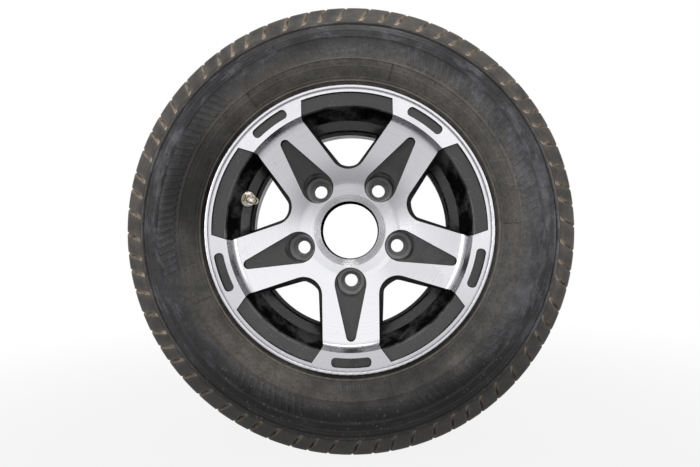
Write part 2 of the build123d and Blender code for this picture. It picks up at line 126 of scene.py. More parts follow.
# Rim face: smooth runs of the turned outline, corners (radius, y, rounding), from the cap hole to the flange's edge
MACHINED_RUNS = [
    [(31.0, -45.0, 0), (38.0, -50.8, 0)],
    [(38.0, -50.8, 0), (50.0, -50.8, 20), (117.2, -74.86, 12), (121.7, -85.5, 0)],
    [(121.7, -85.5, 0), (138.6, -85.5, 0)],
    [(138.6, -85.5, 0), (139.0, -84.6, 0)],
    [(139.0, -84.6, 0), (139.6, -84.6, 0)],
    [(139.6, -84.6, 0), (139.9, -88.0, 1.2), (143.9, -88.0, 2.2), (143.9, -79.0, 0)],
]
# A face is machined if its middle lies this near to a run and the cosine between their normals is this large
MACHINED_GAP = 0.9
MACHINED_COSINE = 0.88

# Bolt holes and centre hole: circle of the bolts, and radii that bound the seats, the holes, the wells and the bore
SPOKES = 5
BOLT_RADIUS = 56.0
SEAT_RADII = (7.0, 15.2)
SEAT_FRONT_Y = -25.0
HOLE_RADIUS = 7.6
WELL_RADIUS = 16.2
BORE_RADIUS = 34.0
LIP_RADIUS = 100.0
# Pockets in a spoke: half width, reach along the spoke, and the depth they stay in front of
POCKET_HALF = 17.5
POCKET_REACH = (38.0, 138.0)
POCKET_BACK_Y = -8.0

# Painted highlight along the ledge's edge: radii where it starts and is full, then where it is gone and where it is
# still full
EDGE_HIGHLIGHT_LINE = (122.6, 123.3, 125.2, 124.5)

# Valve: seat on the rim, the way the stem points, and the ends of the core's spring along the stem
VALVE_SEAT = np.array((-106.33, -53.08, 34.55))
VALVE_AXIS = np.array((0.611327, -0.766044, -0.198632))
# Stem: radii of its two threaded lengths, their thread depths, the pitch, and where the first length ends
SHANK_RADIUS, MOUTH_RADIUS = 4.1, 3.85
SHANK_THREAD, MOUTH_THREAD = 0.42, 0.34
THREAD_PITCH = 0.8
SHANK_END = 9.45
# The rest of its outline (distance along the stem, radius): rim of the mouth, bore, and the foot inside the tyre
STEM_END = [
    (16.5, 3.62), (17.0, 3.35), (17.0, 2.95), (16.6, 2.65), (13.4, 2.62), (7.0, 2.6), (7.0, 1.95), (-3.0, 1.95),
    (-3.6, 1.4), (-10.9, 1.4), (-10.9, 7.7), (-8.4, 7.7), (-8.4, SHANK_RADIUS),
]
STEM_TURNS = 40

# Studio: floor's half size and level in metres, and lamps (name, place, width, height, watts)
FLOOR_HALF = 6.0
FLOOR_LEVEL = -0.23425
AIR_STRENGTH = 0.58
LAMPS = [
    ("lamp_front", (0.3, -2.2, 0.9), 2.6, 2.6, 13.0), ("lamp_left", (-1.75, -1.7, 0.2), 0.7, 1.6, 15.0),
    ("lamp_right", (2.0, -1.36, 0.1), 0.6, 1.6, 11.0), ("lamp_top", (0.2, -0.4, 2.3), 1.4, 0.7, 10.0),
]

# Camera: place in metres, turns about Z, X and Y in degrees, sensor's width, and focal length in widths of the picture
CAMERA_PLACE = (0.0102, -0.6045, -0.0151)
CAMERA_TURNS = (1.02, 1.19, 1.0)
SENSOR_WIDTH = 36.0
FOCAL_SHARE = 527.0 / 700.0


# Shapes

def rounded_outline(corners, arc_points=11):
    """Open polyline through corners (radius, y, rounding). A rounded corner becomes an arc tangent to both its runs:
    its centre lies on the corner's bisector, at rounding / sin(half the angle), and its points turn evenly."""
    corners = np.array(corners, float)
    runs = [corners[:1, :2]]
    for before, corner, after in zip(corners[:-2], corners[1:-1], corners[2:]):
        back, ahead = before[:2] - corner[:2], after[:2] - corner[:2]
        back, ahead = back / np.linalg.norm(back), ahead / np.linalg.norm(ahead)
        if corner[2] == 0:
            runs.append(corner[None, :2])
            continue
        half = np.arccos(np.clip(back @ ahead, -1, 1)) / 2
        middle = (back + ahead) / np.linalg.norm(back + ahead)
        centre = corner[:2] + middle * corner[2] / np.sin(half)
        start = corner[:2] + back * corner[2] / np.tan(half) - centre
        end = corner[:2] + ahead * corner[2] / np.tan(half) - centre
        sweep = pi - 2 * half
        turn = np.linspace(0, 1, arc_points)[:, None]
        runs.append(centre + (np.sin((1 - turn) * sweep) * start + np.sin(turn * sweep) * end) / np.sin(sweep))
    runs.append(corners[-1:, :2])
    return np.concatenate(runs)


def ring_relief(radius):
    """Height of the moulding at a radius: each ring is a raised cosine, and the ribbed band is a shallow recess with
    smooth edges."""
    centre, half, height, _ = np.array(RINGS).T
    offset = np.abs(radius[..., None] - centre) / half
    rings = np.where(offset < 1, height * 0.5 * (1 + np.cos(pi * np.minimum(offset, 1))), 0).sum(-1)
    low, high, depth = RIB_BAND
    edge = np.clip((radius - low) / RIB_BAND_EDGE, 0, 1) * np.clip((high - radius) / RIB_BAND_EDGE, 0, 1)
    return rings - depth * edge * edge * (3 - 2 * edge)


def crest_dust_and_highlight(radius):
    """Dust and painted highlight on the rings' crests at a radius: the ring's own share, within two thirds of its half
    width.
    """
    centre, half, _, share = np.array(RINGS).T
    return np.where(np.abs(radius[..., None] - centre) < 0.67 * half, share, 0).max(-1)


def spun(profile, count):
    """Surface of revolution about Y: (r cos a, y, r sin a) for every angle a and profile point (r, y)."""
    angle = np.arange(count)[:, None] * 2 * pi / count
    radius, y = profile[:, 0], profile[:, 1]
    return np.stack([radius * np.cos(angle), y + 0 * angle, radius * np.sin(angle)], -1)


def grid_faces(rows, columns, wrap_rows, wrap_columns):
    """Quads of a grid, wound so that the face looks along (step in column) x (step in row)."""
    row = np.arange(rows if wrap_rows else rows - 1)[:, None]
    column = np.arange(columns if wrap_columns else columns - 1)[None, :]
    next_row, next_column = (row + 1) % rows, (column + 1) % columns
    corners = [row * columns + column, row * columns + next_column, next_row * columns + next_column,
               next_row * columns + column]
    return np.stack([np.broadcast_to(corner, (row.size, column.size)) for corner in corners], -1).reshape(-1, 4)


def add_object(name, data):
    """New object in the scene, at the origin."""
    made = bpy.data.objects.new(name, data)
    bpy.context.scene.collection.objects.link(made)
    return made


def smooth(mesh, sharp):
    """Joins points that fall on each other, such as a pole's, and shades smooth but for edges past the sharp angle."""
    work = bmesh.new()
    work.from_mesh(mesh)
    bmesh.ops.remove_doubles(work, verts=work.verts, dist=1e-6)
    work.to_mesh(mesh)
    work.free()
    mesh.shade_smooth()
    mesh.set_sharp_from_angle(angle=sharp)


def make_piece(name, grids, material, body="wheel", values=None, replaces=()):
    """One mesh from grids (points, wrap_rows, wrap_columns). Points have shape (rows, columns, 3) or
    (copies, rows, columns, 3), in millimetres. Values are named numbers, one per point."""
    points, faces, count = [], [], 0
    for grid, wrap_rows, wrap_columns in grids:
        grid = grid if grid.ndim == 4 else grid[None]
        copies, rows, columns = grid.shape[:3]
        quads = grid_faces(rows, columns, wrap_rows, wrap_columns)
        start = count + np.arange(copies)[:, None, None] * rows * columns
        points.append(grid.reshape(-1, 3))
        faces.append((quads[None] + start).reshape(-1, 4))
        count += copies * rows * columns
    points, faces = np.concatenate(points) * MM, np.concatenate(faces)
    mesh = bpy.data.meshes.new(name)
    mesh.vertices.add(len(points))
    mesh.vertices.foreach_set("co", points.astype(np.float32).ravel())
    mesh.loops.add(faces.size)
    mesh.loops.foreach_set("vertex_index", faces.astype(np.int32).ravel())
    mesh.polygons.add(len(faces))
    mesh.polygons.foreach_set("loop_start", np.arange(0, faces.size, 4, dtype=np.int32))
    mesh.update(calc_edges=True)
    for key, numbers in (values or {}).items():
        mesh.attributes.new(key, "FLOAT", "POINT").data.foreach_set("value", numbers.astype(np.float32).ravel())
    smooth(mesh, PIECE_SHARP)
    mesh.materials.append(material)
    piece = add_object(name, mesh)
    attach(piece, body)
    if replaces:
        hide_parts(*replaces)


def joined_copy(node_name, name, sharp):
    """Copy of a CAD node's mesh with its loose triangles joined."""
    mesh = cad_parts[node_name].data.copy()
    mesh.name = name
    smooth(mesh, sharp)
    mesh.materials.clear()
    return mesh


# Nodes

def fill(tree, socket, value):
    """Joins another socket to an input, or sets its value."""
    if isinstance(value, bpy.types.NodeSocket):
        tree.links.new(value, socket)
    else:
        socket.default_value = value


def node(tree, kind, inputs=None, **settings):
    """Adds a node, applies its settings, and fills its inputs."""
    made = tree.nodes.new(kind)
    for key, value in settings.items():
        setattr(made, key, value)
    for key, value in (inputs or {}).items():
        fill(tree, made.inputs[key], value)
    return made


def reckon(tree, operation, *terms):
    """A Math node's result."""
    return node(tree, "ShaderNodeMath", dict(enumerate(terms)), operation=operation).outputs[0]


def times(tree, first, *factors):
    """Product of values."""
    for factor in factors:
        first = reckon(tree, "MULTIPLY", first, factor)
    return first


def vector(tree, operation, *terms, **inputs):
    """A Vector Math node."""
    return node(tree, "ShaderNodeVectorMath", {**dict(enumerate(terms)), **inputs}, operation=operation).outputs


def blend(tree, amount, first, second, way="MIX"):
    """Mixes two colours. The numbers are the Mix node's own sockets for amount and colours."""
    return node(tree, "ShaderNodeMix", {0: amount, 6: first, 7: second}, data_type="RGBA", blend_type=way).outputs[2]


def between(tree, value, low, high, from_value=0.0, to_value=1.0):
    """Smooth step of a value from low to high."""
    return node(tree, "ShaderNodeMapRange", {"Value": value, "From Min": low, "From Max": high, "To Min": from_value,
                                             "To Max": to_value}, interpolation_type="SMOOTHSTEP").outputs[0]


def toward(tree, away, degrees, start, full):
    """Share of a sector of the wheel: the cosine between the direction away from the axis and the given angle, from
    start to full."""
    way = (cos(radians(degrees)), 0.0, sin(radians(degrees)))
    return between(tree, vector(tree, "DOT_PRODUCT", away, way)["Value"], start, full)


def mottle(tree, place, scale, detail=4.0, roughness=0.55):
    """Noise value over a vector."""
    return node(tree, "ShaderNodeTexNoise", {"Vector": place, "Scale": scale, "Detail": detail,
                                             "Roughness": roughness}).outputs["Fac"]


def bump(tree, height, strength, distance):
    """Normal of a bumpy surface. The distance is in metres."""
    return node(tree, "ShaderNodeBump", {"Height": height, "Strength": strength, "Distance": distance}).outputs[0]


def object_place(tree):
    """Place in the piece's own coordinates, in metres."""
    return node(tree, "ShaderNodeTexCoord").outputs["Object"]


def new_group(name, inputs, outputs):
    """Shader node group with named sockets. Returns the tree, its input node and its output node."""
    tree = bpy.data.node_groups.new(name, "ShaderNodeTree")
    for label, value in inputs.items():
        tree.interface.new_socket(label, in_out="INPUT", socket_type="NodeSocketFloat").default_value = value
    for label, kind in outputs.items():
        tree.interface.new_socket(label, in_out="OUTPUT", socket_type=kind)
    return tree, tree.nodes.new("NodeGroupInput"), tree.nodes.new("NodeGroupOutput")


def place_group(tree, group, **inputs):
    """Puts a node group into a tree and fills its inputs. Returns its outputs."""
    return node(tree, "ShaderNodeGroup", inputs, node_tree=group).outputs


def polar_group():
    """Place on the wheel: radius in millimetres, the unit vector away from the axis, and a vector for patterns that
    run around. In that one the unit vector stands for the angle, so that nothing jumps at the half turn."""
    tree, _, out = new_group("place_on_wheel", {}, {
        "Radius": "NodeSocketFloat", "Away": "NodeSocketVector", "Around": "NodeSocketVector"})
    x, _, z = node(tree, "ShaderNodeSeparateXYZ", {0: object_place(tree)}).outputs
    flat = node(tree, "ShaderNodeCombineXYZ", {"X": x, "Z": z}).outputs[0]
    radius = times(tree, vector(tree, "LENGTH", flat)["Value"], 1 / MM)
    away = vector(tree, "NORMALIZE", flat)[0]
    spread = vector(tree, "MULTIPLY", away, (170.0, 170.0, 170.0))[0]
    lift = node(tree, "ShaderNodeCombineXYZ", {"Y": times(tree, radius, 2.6)}).outputs[0]
    for label, socket in (("Radius", radius), ("Away", away), ("Around", vector(tree, "ADD", spread, lift)[0])):
        tree.links.new(socket, out.inputs[label])
    return tree


def turning_group(polar):
    """Tool marks of a lathe: the normal leans outwards and inwards from ring to ring, each ring by its own amount,
    and the marks' tone goes with it."""
    tree, given, out = new_group("turning_marks", {"Pitch": 1.0, "Lean": 0.05, "Waver": 0.3}, {
        "Normal": "NodeSocketVector", "Tone": "NodeSocketFloat"})
    place = place_group(tree, polar)
    waver = times(tree, reckon(tree, "SUBTRACT", mottle(tree, place["Around"], 0.02, 1.0), 0.5), given.outputs["Waver"])
    ring = reckon(tree, "DIVIDE", reckon(tree, "ADD", place["Radius"], waver), given.outputs["Pitch"])
    hills = node(tree, "ShaderNodeTexNoise", {"W": ring, "Scale": 1.0, "Detail": 2.0, "Roughness": 0.7},
                 noise_dimensions="1D").outputs["Fac"]
    tone = reckon(tree, "SUBTRACT", hills, 0.5)
    shove = vector(tree, "SCALE", place["Away"], Scale=times(tree, tone, given.outputs["Lean"]))[0]
    normal = node(tree, "ShaderNodeNewGeometry").outputs["Normal"]
    unit = vector(tree, "NORMALIZE", vector(tree, "ADD", normal, shove)[0])[0]
    tree.links.new(unit, out.inputs["Normal"])
    tree.links.new(tone, out.inputs["Tone"])
    return tree


def dust_group():
    """Settled dust: a soft film in patches, and small round specks."""
    tree, given, out = new_group("settled_dust", {"Film": 0.5, "Specks": 0.5, "Size": 1.0}, {
        "Film": "NodeSocketFloat", "Specks": "NodeSocketFloat"})
    scaled = vector(tree, "SCALE", object_place(tree), Scale=given.outputs["Size"])[0]
    patches = between(tree, mottle(tree, scaled, 38.0, 6.0, 0.62), 0.44, 0.66)
    cells = node(tree, "ShaderNodeTexVoronoi", {"Vector": scaled, "Scale": 420.0})
    dots = between(tree, cells.outputs["Distance"], 0.32, 0.10)
    lot = node(tree, "ShaderNodeSeparateColor", {0: cells.outputs["Color"]}).outputs[0]
    chosen = between(tree, lot, 0.62, 0.72)
    where = between(tree, mottle(tree, scaled, 14.0, 3.0), 0.42, 0.60)
    tree.links.new(times(tree, patches, given.outputs["Film"]), out.inputs["Film"])
    tree.links.new(times(tree, dots, chosen, where, given.outputs["Specks"]), out.inputs["Specks"])
    return tree


# Materials

POLAR = polar_group()
TURNING = turning_group(POLAR)
DUST = dust_group()


def new_material(name):
    """Empty node material with a Principled shader. Returns the material, its tree and the shader."""
    material = bpy.data.materials.new(name)
    material.use_nodes = True
    tree = material.node_tree
    return material, tree, tree.nodes["Principled BSDF"]


def feed(tree, shader, **sockets):
    """Fills the shader's inputs. An input's name is written with _ for a space."""
    for key, value in sockets.items():
        fill(tree, shader.inputs[key.replace("_", " ")], value)


def machined_skin():
    """Turned bright metal: fine rings, painted shade on the upper hub, a painted highlight on the bore's chamfer,
    cloudy scuffs and a few tan stains.
    """
    material, tree, shader = new_material("rim_machined")
    here, place = object_place(tree), place_group(tree, POLAR)
    marks = place_group(tree, TURNING, Pitch=0.7, Lean=0.20, Waver=0.3)
    worn = between(tree, mottle(tree, here, 22.0, 6.0, 0.62), 0.50, 0.72)
    bright = blend(tree, times(tree, worn, 0.30), (0.565, 0.565, 0.59, 1), (0.45, 0.45, 0.475, 1))
    # Painted shade: the hub is darker towards its top
    hub = times(tree, between(tree, place["Radius"], 88.0, 50.0), toward(tree, place["Away"], 90.0, -0.1, 0.7))
    bright = blend(tree, times(tree, hub, 0.75), bright, (0.27, 0.27, 0.285, 1))
    bright = blend(tree, 1.0, bright, between(tree, marks["Tone"], -0.22, 0.22, 0.93, 1.05), "MULTIPLY")
    # Painted highlight: the chamfer ring around the bore is paler
    chamfer = between(tree, place["Radius"], 38.6, 37.6)
    bright = blend(tree, times(tree, chamfer, 0.8), bright, (0.66, 0.66, 0.68, 1))
    scuff = between(tree, mottle(tree, here, 41.0, 8.0, 0.72), 0.60, 0.70)
    bright = blend(tree, times(tree, scuff, 0.35), bright, (0.72, 0.72, 0.74, 1))
    stain = between(tree, mottle(tree, here, 95.0, 3.0), 0.71, 0.77)
    bright = blend(tree, times(tree, stain, 0.5), bright, (0.36, 0.25, 0.15, 1))
    dull = reckon(tree, "MAXIMUM", worn, scuff)
    feed(tree, shader, Base_Color=bright, Metallic=1.0, Roughness=between(tree, dull, 0.0, 1.0, 0.24, 0.38),
         Normal=marks["Normal"])
    return material


def rim_paint(name, black, soiled, film, specks, rough, specular, edge_highlight=0.0):
    """Black paint with a film of dust, pale specks and the slight ripple of a sprayed casting. An edge highlight is a
    broken pale line, a painted highlight, where the ledge turns down into the barrel."""
    material, tree, shader = new_material(name)
    here = object_place(tree)
    grime = place_group(tree, DUST, Film=film, Specks=specks, Size=1.0)
    paint = blend(tree, grime["Film"], black, soiled)
    paint = blend(tree, grime["Specks"], paint, (0.26, 0.25, 0.23, 1))
    if edge_highlight:
        radius = place_group(tree, POLAR)["Radius"]
        line = times(tree, between(tree, radius, *EDGE_HIGHLIGHT_LINE[:2]), between(tree, radius, *EDGE_HIGHLIGHT_LINE[2:]))
        broken = between(tree, mottle(tree, here, 60.0, 4.0), 0.38, 0.58, 0.2, edge_highlight)
        paint = blend(tree, times(tree, line, broken), paint, (0.14, 0.14, 0.15, 1))
    feed(tree, shader, Base_Color=paint, Roughness=between(tree, grime["Film"], 0.0, film, rough, rough + 0.25),
         Normal=bump(tree, mottle(tree, here, 240.0, 3.0), 0.12, 0.0006), Specular_IOR_Level=specular)
    return material


def tyre_rubber():
    """Brown-black rubber: tan dust by the rim made paler with painted light, painted shade on the lower edge, a cleaner
    glossy band below the shoulder, a painted lavender sheen that runs around the wheel, tan soil in the slots and a
    fine moulded grain."""
    material, tree, shader = new_material("tyre_rubber")
    here, place = object_place(tree), place_group(tree, POLAR)
    soil, raised, hollow = (node(tree, "ShaderNodeAttribute", attribute_name=name).outputs["Fac"]
                            for name in ("soil", "raised", "hollow"))
    dust_and_light_tan = (0.125, 0.114, 0.102, 1)

    def by_radius(start, full, none=0.0, most=1.0):
        return between(tree, place["Radius"], start, full, none, most)

    def sector(degrees, start, full):
        return toward(tree, place["Away"], degrees, start, full)

    def layer(under, colour, *shares):
        return blend(tree, times(tree, *shares), under, colour)

    def less(share, by):
        """What is left of a share under the painted shade."""
        return reckon(tree, "SUBTRACT", share, times(tree, painted_shade, by))

    cloud = mottle(tree, here, 8.0, 6.0, 0.62)
    thick = between(tree, cloud, 0.34, 0.66)
    brown = blend(tree, thick, (0.038, 0.0360, 0.0340, 1), (0.080, 0.073, 0.066, 1))
    blue = blend(tree, thick, (0.026, 0.0255, 0.0265, 1), (0.064, 0.0635, 0.0680, 1))
    rubber = blend(tree, by_radius(160.0, 174.0), brown, blue)

    # Painted shade on the lower edge and on the upper left of the sidewall, and painted light that makes the upper
    # right paler
    painted_shade = reckon(tree, "MAXIMUM", times(tree, sector(272.0, 0.25, 0.85), by_radius(160.0, 186.0)),
                    times(tree, sector(155.0, 0.86, 0.98), by_radius(192.0, 176.0, 0.0, 0.6)))
    rubber = layer(rubber, (0.004, 0.0038, 0.0038, 1), painted_shade, 0.95)
    # Painted light: the inner sidewall is paler towards the upper right
    painted_light_upper_right = times(tree, sector(35.0, -0.1, 0.8), by_radius(194.0, 164.0))
    rubber = layer(rubber, (0.150, 0.147, 0.146, 1), painted_light_upper_right, 0.45)

    # Tan dust lies beside the rim and at the top, made paler as painted light where the sidewall is in shade; the band
    # below the shoulder is clean
    streak = mottle(tree, place["Around"], 0.026, 6.0, 0.65)
    shine = times(tree, by_radius(176.0, 198.0), by_radius(203.0, 199.0), between(tree, streak, 0.36, 0.60))
    dust_and_light_by_rim = times(tree, by_radius(186.0, 160.0), between(tree, cloud, 0.38, 0.62))
    rubber = layer(rubber, dust_and_light_tan, dust_and_light_by_rim, less(0.5, 0.4))
    unshaded = between(tree, painted_shade, 0.0, 1.0, 1.0, 0.2)
    rubber = layer(rubber, (0.024, 0.024, 0.028, 1), shine, 0.85, unshaded)
    settled = times(tree, sector(88.0, 0.45, 0.95), by_radius(184.0, 160.0))
    rubber = layer(rubber, dust_and_light_tan, settled, 0.55)

    # Painted lavender sheen in thin bands, most of all on the right and the left shoulder, and painted highlights on
    # the raised marks
    sheen_sides = reckon(tree, "MAXIMUM", sector(355.0, 0.55, 0.98), times(
        tree, sector(166.0, 0.88, 0.98), by_radius(180.0, 190.0)))
    sheen_noise = reckon(tree, "ADD", mottle(tree, place["Around"], 0.041, 7.0, 0.68), times(tree, sheen_sides, 0.09))
    sheen_streaks = times(tree, between(tree, sheen_noise, 0.52, 0.68), by_radius(160.0, 180.0), 0.6)
    highlight_on_marks = times(tree, raised, between(tree, streak, 0.40, 0.62), 0.2)
    rubber = layer(rubber, (0.140, 0.141, 0.160, 1), reckon(tree, "MAXIMUM", sheen_streaks, highlight_on_marks), unshaded)

    # Blocks of the tread are dark or dusty brown
    patchy = between(tree, mottle(tree, here, 42.0, 5.0, 0.6), 0.34, 0.66)
    block = blend(tree, patchy, (0.014, 0.0134, 0.0130, 1), (0.058, 0.050, 0.043, 1))
    # Painted shade darkens the blocks on the lower edge
    block = layer(block, (0.006, 0.0058, 0.0056, 1), painted_shade, 0.8)
    rubber = layer(rubber, block, by_radius(203.0, 206.0), 0.9)

    # Blotches and grit of every size, dried splashes, shade in the hollows, and soil made paler as painted light
    # against the shade in the slots and as painted highlight on the crests
    blotch = mottle(tree, here, 48.0, 7.0, 0.72)
    rubber = blend(tree, 1.0, rubber, between(tree, blotch, 0.32, 0.68, 0.72, 1.28), "MULTIPLY")
    grit = mottle(tree, here, 420.0, 3.0, 0.6)
    rubber = blend(tree, 1.0, rubber, between(tree, grit, 0.32, 0.68, 0.84, 1.16), "MULTIPLY")
    splash = place_group(tree, DUST, Film=0.0, Specks=0.5, Size=0.6)["Specks"]
    rubber = layer(rubber, (0.17, 0.148, 0.125, 1), splash)
    rubber = layer(rubber, (0.007, 0.007, 0.007, 1), hollow, 0.75)
    dirt = between(tree, mottle(tree, here, 150.0, 5.0), 0.28, 0.72)
    rubber = layer(rubber, (0.50, 0.405, 0.315, 1), soil, less(1.0, 0.6), reckon(
        tree, "ADD", times(tree, dirt, 0.75), 0.25))

    smooth = reckon(tree, "SUBTRACT", cloud, times(tree, shine, 0.35))
    feed(tree, shader, Base_Color=rubber, Roughness=between(tree, smooth, 0.1, 0.7, 0.26, 0.56),
         Normal=bump(tree, mottle(tree, here, 800.0, 3.0), 0.3, 0.0005), Specular_IOR_Level=0.2)
    return material


def plated_metal(name, pale, dull, roughness):
    """Plated turned metal with dull patches and a little dust."""
    material, tree, shader = new_material(name)
    here = object_place(tree)
    grime = place_group(tree, DUST, Film=0.5, Specks=0.3, Size=4.0)
    patch = between(tree, mottle(tree, here, 330.0, 4.0), 0.40, 0.68)
    colour = blend(tree, patch, pale, dull)
    colour = blend(tree, times(tree, grime["Film"], 0.6), colour, (0.16, 0.13, 0.10, 1))
    feed(tree, shader, Base_Color=colour, Roughness=between(tree, patch, 0.0, 1.0, roughness, roughness + 0.18),
         Normal=bump(tree, mottle(tree, here, 2600.0, 2.0), 0.15, 0.0002), Metallic=1.0)
    return material


def soft_seal():
    """Matt black seal rubber."""
    material, tree, shader = new_material("seal_rubber")
    here = object_place(tree)
    cloud = mottle(tree, here, 420.0, 4.0)
    colour = blend(tree, between(tree, cloud, 0.35, 0.7), (0.015, 0.015, 0.015, 1), (0.045, 0.042, 0.038, 1))
    feed(tree, shader, Base_Color=colour, Roughness=between(tree, cloud, 0.3, 0.7, 0.55, 0.75),
         Normal=bump(tree, mottle(tree, here, 2400.0, 2.0), 0.3, 0.0002))
    return material


SKIN = machined_skin()
# Paints of the rim: name, clean and soiled colour, film, specks, roughness, specular level, painted edge highlight
POCKET = rim_paint("rim_pocket_paint", (0.022, 0.022, 0.023, 1), (0.070, 0.067, 0.062, 1), 0.45, 0.6, 0.27, 0.5)
LEDGE = rim_paint("rim_ledge_paint", (0.022, 0.022, 0.0235, 1), (0.070, 0.068, 0.068, 1), 0.5, 0.6, 0.17, 0.5, 0.8)
SLOPE = rim_paint("rim_slope_paint", (0.004, 0.004, 0.0045, 1), (0.060, 0.060, 0.062, 1), 0.9, 0.15, 0.12, 0.4, 0.8)
BARREL = rim_paint("rim_barrel_paint", (0.005, 0.005, 0.005, 1), (0.045, 0.040, 0.034, 1), 0.8, 0.2, 0.60, 0.03)
# Painted light: the bolt seats lie deep in their wells and are painted near white to stand in for the light on them
SEAT = rim_paint("rim_bolt_seat_painted_light", (0.80, 0.795, 0.79, 1), (0.46, 0.45, 0.44, 1), 0.5, 0.2, 0.26, 1.0)
WELL = rim_paint("rim_well_paint", (0.024, 0.024, 0.024, 1), (0.055, 0.053, 0.050, 1), 0.5, 0.3, 0.45, 0.12)
REAR = rim_paint("rim_rear_paint", (0.030, 0.030, 0.031, 1), (0.085, 0.080, 0.073, 1), 0.6, 0.5, 0.38, 0.35)
HOLE = rim_paint("rim_hole_paint", (0.003, 0.003, 0.003, 1), (0.010, 0.009, 0.008, 1), 0.4, 0.1, 0.80, 0.0)

RUBBER = tyre_rubber()
NICKEL = plated_metal("valve_nickel", (0.66, 0.62, 0.55, 1), (0.42, 0.38, 0.32, 1), 0.22)
STEEL = plated_metal("valve_steel", (0.60, 0.60, 0.60, 1), (0.40, 0.39, 0.37, 1), 0.28)
BRASS = plated_metal("core_brass", (0.68, 0.58, 0.40, 1), (0.47, 0.38, 0.25, 1), 0.25)
SEAL = soft_seal()


# Tyre

OUTLINE = rounded_outline(BEAD + SIDEWALL + TREAD)


def outline_y(radius):
    """Distance of the tyre's outline from the mid-plane at a radius, on the sidewall and the buttress."""
    start = np.argmax(OUTLINE[:, 0] > SIDEWALL_RADII[0])
    return np.interp(radius, OUTLINE[start:, 0], OUTLINE[start:, 1])


def outline_radius(y):
    """Radius of the tyre's outline at a distance from the mid-plane, on the buttress and the tread."""
    start = np.argmax(OUTLINE[:, 0] > BUTTRESS_START)
    return np.interp(-y, -OUTLINE[start:, 1], OUTLINE[start:, 0])


def outward(y, radius):
    """Unit normal (radius, y) of a line that gives y at every radius."""
    slope = np.gradient(y, radius)
    return np.stack([-slope, np.ones_like(slope)], -1) / np.sqrt(1 + slope ** 2)[:, None]


def carcass_profile():
    """Closed outline of the tyre without its tread: bead, ringed sidewall, the belt under the tread, and the liner.
    The sidewall leans along its own normal by the rings' relief."""
    bead = rounded_outline(BEAD + SIDEWALL[:1], 7)[:-1]
    bead = bead[bead[:, 0] < SIDEWALL_RADII[0] - 0.5]
    fine = np.array(RINGS)[:, 0, None] + np.array(RINGS)[:, 1, None] * np.array((-1, -0.6, -0.3, 0, 0.3, 0.6, 1))
    edge = np.linspace(0, RIB_BAND_EDGE, 5)
    edges = np.concatenate([RIB_BAND[0] + edge, RIB_BAND[1] - edge])
    radius = np.unique(np.concatenate([np.arange(*SIDEWALL_RADII, 1.4), fine.ravel(), edges]).round(3))
    y = outline_y(radius)
    side = np.stack([radius, y], -1) + outward(y, radius) * ring_relief(radius)[:, None]
    lip = np.array([(199.6, outline_y(199.6)), (200.2, outline_y(200.2) - 0.9), (201.2, outline_y(201.2) - 1.5)])
    half = np.concatenate([bead, side, lip, np.array(UNDER_TREAD)])
    liner = rounded_outline(LINER, 7)[1:-1]
    mirror = np.array((1.0, -1.0))
    return np.concatenate([half * mirror, half[::-1], liner, liner[::-1] * mirror])


def slot_floor(y):
    """Points (radius, y) on the line of the soil in a shoulder's slot: as far along it as y is along the shoulder."""
    line = np.array(SLOT_SOIL)
    share = np.interp(y, (SLOT_END_Y, outline_y(SLOT_RADII[0])), (1.0, 0.0))
    steps = np.concatenate([[0], np.cumsum(np.hypot(*np.diff(line, axis=0).T))])
    steps /= steps[-1]
    return np.stack([np.interp(share, steps, line[:, 0]), np.interp(share, steps, line[:, 1])], -1)


def slant_turn(y):
    """Angle by which each row of the tread is turned: its distance from a pivot times the slant of its cuts, over the
    radius. The shoulder and the two rows of ribs have slants of their own, and an outer groove lies between them."""
    turn = np.where(y > 48.0, tan(SLOT_SLANT) * (y - SHOULDER_Y) / 226.0, 0.0)
    turn = np.where((y < 42.0) & (y > 19.0), -tan(SIPE_SLANT) * (y - 30.0) / 232.0, turn)
    groove_edges = [turn[np.argmin(abs(y - edge))] for edge in (48.1, 41.9)]
    turn = np.where(y == GROOVE_MIDDLES[0], 0.5 * sum(groove_edges), turn)
    return np.where(y < 14.0, tan(SIPE_SLANT) * (y - 6.0) / 234.0, turn)


def pitch_turns(width, bevel):
    """Angles of every pitch's columns, of shape (pitches, rows, columns): the slot's floor, its far wall and bevel,
    the block in even steps, and the next slot's bevel and near wall."""
    span = np.array([PITCH_LENGTHS[letter] for letter in PITCHES])
    start = np.concatenate([[0], np.cumsum(span)[:-1]]) / span.sum() * 2 * pi
    span = span / span.sum() * 2 * pi
    slot = np.stack([-width + 0.5 * bevel, width - 0.5 * bevel, width, width + bevel], -1)
    steps = np.linspace(0, 1, 6)[1:-1]
    edge = (width + bevel)[None, :, None]
    block = edge + steps * (span[:, None, None] - 2 * edge)
    end = np.stack([-width - bevel, -width], -1)[None] + span[:, None, None]
    turn = np.concatenate([np.broadcast_to(slot, (len(span),) + slot.shape), block, end], -1)
    return turn + start[:, None, None]


